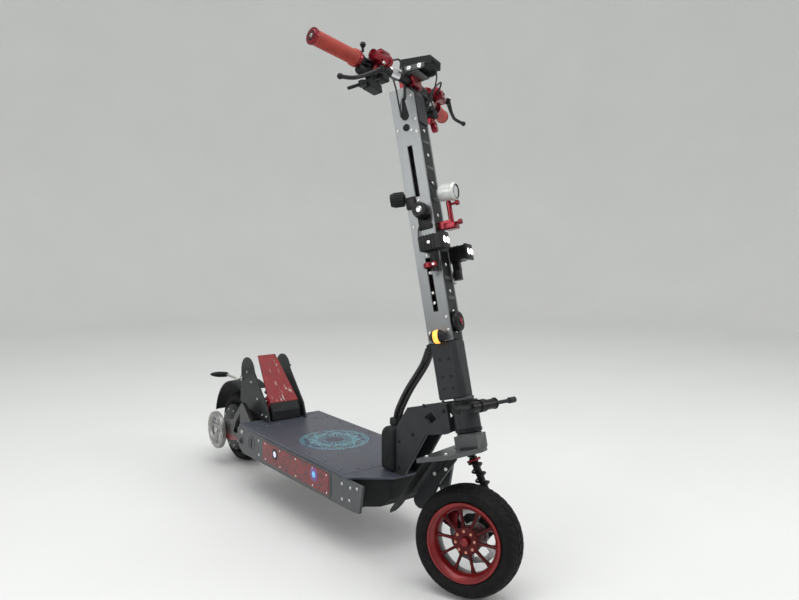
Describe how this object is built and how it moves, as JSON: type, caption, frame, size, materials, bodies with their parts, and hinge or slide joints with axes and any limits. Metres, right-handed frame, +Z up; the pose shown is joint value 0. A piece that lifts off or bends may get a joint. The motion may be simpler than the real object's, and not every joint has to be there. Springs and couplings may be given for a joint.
{
  "type": "electric kick scooter",
  "caption": "Two-wheeled standing electric scooter with a long deck, raked stem, leading-link front fork, swinging rear arm, handlebar with levers, lamps and a fold-down stand.",
  "frame": {"origin": "centre of the bounding box at floor level, with the bar turned to the rider's left as in the picture", "axes": "-Y ahead, +X to the rider's left, +Z up from the floor"},
  "size_m": [0.6032, 1.5314, 1.2552],
  "materials": {
    "frame_grey": "satin dark grey paint",
    "deck_coat": "fine textured blue-grey coat",
    "stem_silver": "brushed and anodised, light grey",
    "black_plastic": "matte moulded",
    "battery_wrap": "shrink wrap",
    "bare_aluminium": "fine machined",
    "fork_grey": "satin near-black",
    "crimson_anodised": "crimson anodised",
    "footrest_red": "gloss red with worn streaks",
    "black_anodised": "black anodised",
    "black_steel": "satin black",
    "polished_rod": "hard chrome",
    "disc_steel": "ground",
    "tyre_rubber": "road tread",
    "grip_rubber": "brick red moulded grip",
    "flap_rubber": "matte flexible sheet",
    "cable_rubber": "sleeved cables",
    "amber_lens": "amber lens in a black shell"
  },
  "bodies": {
    "frame_body": {"deck_side_plate_right": "frame_grey", "deck_side_plate_left": "frame_grey", "deck_top_plate": "deck_coat", "deck_nose": "black_plastic", "battery_pack": "battery_wrap", "motor_controller": "bare_aluminium", "neck_gusset_right": "frame_grey", "neck_gusset_left": "frame_grey", "head_tube": "frame_grey", "neck_cover": "black_plastic", "steering_damper_body": "black_anodised", "tail_upright_right": "frame_grey", "tail_upright_left": "frame_grey", "footrest_panel": "footrest_red", "rear_mudguard": "black_plastic", "rear_signal_right": "black_plastic", "rear_signal_left": "black_plastic", "cable_loom": "cable_rubber"},
    "kickstand_body": {"kickstand_leg": "black_steel"},
    "damper_rod_body": {"steering_damper_rod": "polished_rod"},
    "rear_arm_body": {"rear_swingarm": "crimson_anodised", "rear_hub_cover": "bare_aluminium"},
    "rear_wheel_body": {"rear_hub_motor": "fork_grey", "rear_tyre": "tyre_rubber"},
    "rear_shock_body": {"rear_shock_cylinder": "black_anodised", "rear_shock_spring": "black_steel"},
    "rear_shock_rod_body": {"rear_shock_rod": "polished_rod"},
    "steer_body": {"fork_crown": "fork_grey", "fork_leg": "fork_grey", "front_mud_flap": "flap_rubber", "stem_plate_right": "stem_silver", "stem_plate_left": "stem_silver", "stem_front_cover": "black_plastic", "stem_upper_cover": "frame_grey", "stem_lower_block": "frame_grey", "handlebar": "black_anodised", "handlebar_clamp": "crimson_anodised", "grip_right": "grip_rubber", "grip_left": "grip_rubber", "brake_perch_right": "crimson_anodised", "brake_perch_left": "crimson_anodised", "control_box": "black_plastic", "display_pod": "black_plastic", "spot_light_right": "black_anodised", "spot_light_left": "black_anodised", "hex_lamp": "bare_aluminium", "lamp_arm": "crimson_anodised", "turn_signal_right": "amber_lens", "turn_signal_left": "amber_lens"},
    "brake_lever_right_body": {"brake_lever_right": "black_anodised"},
    "brake_lever_left_body": {"brake_lever_left": "black_anodised"},
    "throttle_body": {"throttle_lever": "black_plastic"},
    "front_arm_body": {"front_link_arm": "fork_grey", "front_brake_caliper": "crimson_anodised"},
    "front_wheel_body": {"front_rim": "crimson_anodised", "front_tyre": "tyre_rubber", "front_brake_disc": "disc_steel"},
    "front_shock_body": {"front_shock_cylinder": "black_anodised", "front_shock_spring": "black_steel"},
    "front_shock_rod_body": {"front_shock_rod": "polished_rod"}
  },
  "joints": [
    {"name": "steering", "type": "hinge", "parent": "frame_body", "child": "steer_body", "pos_m": [0.02756, -0.61301, 0.40428], "axis": [0, 0.2538, 0.9673], "range_deg": [-61, 9], "deforming": ["cable_loom"]},
    {"name": "steering_damper_stroke", "type": "slide", "parent": "frame_body", "child": "damper_rod_body", "axis": [1, 0, 0], "range_m": [-0.0325, 0.0052]},
    {"name": "front_suspension", "type": "hinge", "parent": "steer_body", "child": "front_arm_body", "pos_m": [0.01146, -0.48022, 0.17802], "axis": [0.8988, 0.424, -0.1112], "range_deg": [-9, 6], "stiffness_Nm_per_rad": 450, "springref_deg": 4.58},
    {"name": "front_wheel_spin", "type": "hinge", "parent": "front_arm_body", "child": "front_wheel_body", "pos_m": [0.00782, -0.644, 0.12669], "axis": [0.8988, 0.424, -0.1112], "continuous": true},
    {"name": "front_shock_tilt", "type": "hinge", "parent": "steer_body", "child": "front_shock_body", "pos_m": [0.09165, -0.55851, 0.2938], "axis": [0.8988, 0.424, -0.1112], "range_deg": [-6.1, 4.07]},
    {"name": "front_shock_stroke", "type": "slide", "parent": "front_shock_body", "child": "front_shock_rod_body", "axis": [0.1068, -0.4579, -0.8826], "range_m": [-0.02374, 0.01582], "deforming": ["front_shock_spring"]},
    {"name": "rear_suspension", "type": "hinge", "parent": "frame_body", "child": "rear_arm_body", "pos_m": [0.02756, 0.31041, 0.16], "axis": [1, 0, 0], "range_deg": [-5, 5.5], "stiffness_Nm_per_rad": 1100, "springref_deg": -3.44},
    {"name": "rear_wheel_spin", "type": "hinge", "parent": "rear_arm_body", "child": "rear_wheel_body", "pos_m": [0.02756, 0.60041, 0.1275], "axis": [1, 0, 0], "continuous": true},
    {"name": "rear_shock_tilt", "type": "hinge", "parent": "frame_body", "child": "rear_shock_body", "pos_m": [0.02756, 0.41041, 0.352], "axis": [1, 0, 0], "range_deg": [-1.01, 0.92]},
    {"name": "rear_shock_stroke", "type": "slide", "parent": "rear_shock_body", "child": "rear_shock_rod_body", "axis": [0, -0.0655, -0.9979], "range_m": [-0.00854, 0.00776], "deforming": ["rear_shock_spring"]},
    {"name": "brake_lever_right_pull", "type": "hinge", "parent": "steer_body", "child": "brake_lever_right_body", "pos_m": [-0.128, -0.49188, 1.19131], "axis": [-0.0082, 0.9003, -0.4352], "range_deg": [0, 12], "stiffness_Nm_per_rad": 1.2, "springref_deg": -11.46},
    {"name": "brake_lever_left_pull", "type": "hinge", "parent": "steer_body", "child": "brake_lever_left_body", "pos_m": [0.19276, -0.34523, 1.17764], "axis": [0.4892, -0.2176, 0.8446], "range_deg": [0, 12], "stiffness_Nm_per_rad": 1.2, "springref_deg": -11.46},
    {"name": "throttle_push", "type": "hinge", "parent": "steer_body", "child": "throttle_body", "pos_m": [-0.16259, -0.46934, 1.15955], "axis": [0, 0.2538, 0.9673], "range_deg": [0, 25], "stiffness_Nm_per_rad": 0.15, "springref_deg": -17.19},
    {"name": "kickstand_fold", "type": "hinge", "parent": "frame_body", "child": "kickstand_body", "pos_m": [0.15156, 0.18041, 0.108], "axis": [0.8263, -0.1784, 0.5343], "range_deg": [0, 66]}
  ],
  "couplings": [
    {"joint": "steering_damper_stroke", "follows": "steering", "m_per_rad": 0.03},
    {"joint": "front_shock_tilt", "follows": "front_suspension", "ratio": 0.66465},
    {"joint": "front_shock_stroke", "follows": "front_suspension", "m_per_rad": 0.14815},
    {"joint": "rear_shock_tilt", "follows": "rear_suspension", "ratio": -0.18042},
    {"joint": "rear_shock_stroke", "follows": "rear_suspension", "m_per_rad": -0.087201}
  ]
}
